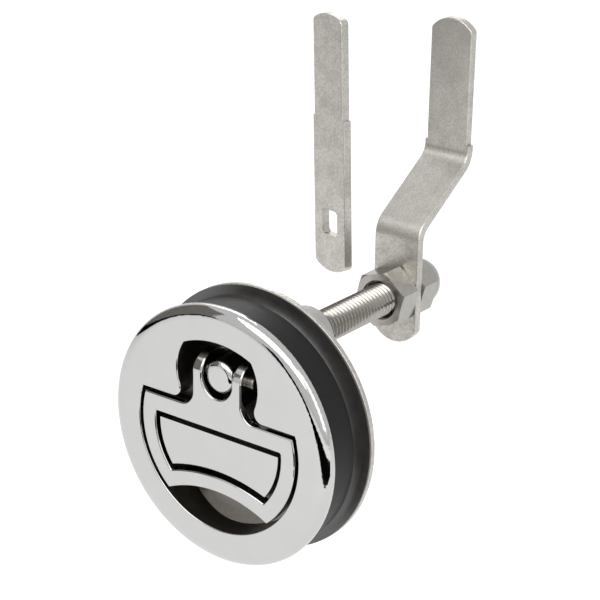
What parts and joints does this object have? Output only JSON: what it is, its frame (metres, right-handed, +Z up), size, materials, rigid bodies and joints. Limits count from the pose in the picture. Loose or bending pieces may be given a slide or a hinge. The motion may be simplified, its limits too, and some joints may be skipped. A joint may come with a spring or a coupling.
{
  "type": "compression latch",
  "caption": "Round flush lift-and-turn compression latch: a recessed handle with cam heels draws a threaded spindle and its offset cam bar towards the lid; a straight bar comes loose.",
  "frame": {"origin": "centre of the round hole in the lid, in the plane of the lid's outer face, on which the front gasket's back face rests", "axes": "-Y out of the lid towards the user, +Y into the locker along the spindle, +Z up along the closed handle's centre line towards the spindle, +X to the right seen from the front"},
  "size_m": [0.0632, 0.0917, 0.1106],
  "materials": {
    "polished_steel": "mirror-polished stainless steel casting",
    "satin_steel": "tumbled satin stainless steel",
    "machined_steel": "bright turned stainless steel",
    "black_rubber": "satin black moulded rubber",
    "black_sleeve": "glossy black moulded sleeve",
    "bush_plastic": "white acetal bush"
  },
  "bodies": {
    "housing": {"housing": "polished_steel", "front_gasket": "black_rubber", "neck_sleeve": "black_sleeve", "rear_gasket": "black_rubber", "clamp_plate": "satin_steel", "clamp_screws": "machined_steel", "cam_washer": "machined_steel", "shaft_seal": "black_rubber", "shaft_bush": "bush_plastic", "return_spring": "machined_steel", "spare_cam_bar": "satin_steel"},
    "spindle": {"spindle": "machined_steel", "hinge_pin": "machined_steel", "seat_washer": "machined_steel", "spring_clip": "machined_steel", "hex_nut": "machined_steel", "cam_bar": "satin_steel", "dome_nut": "machined_steel"},
    "handle": {"handle": "polished_steel"}
  },
  "joints": [
    {"name": "spindle_slide", "type": "slide", "parent": "housing", "child": "spindle", "axis": [0, 1, 0], "range_m": [0, 0.0032], "deforming": ["return_spring"]},
    {"name": "handle_lift", "type": "hinge", "parent": "spindle", "child": "handle", "pos_m": [0, -0.0078, 0.0143], "axis": [-1, 0, 0], "range_deg": [0, 90]}
  ],
  "couplings": [
    {"joint": "handle_lift", "follows": "spindle_slide", "rad_per_m": 490.87}
  ]
}
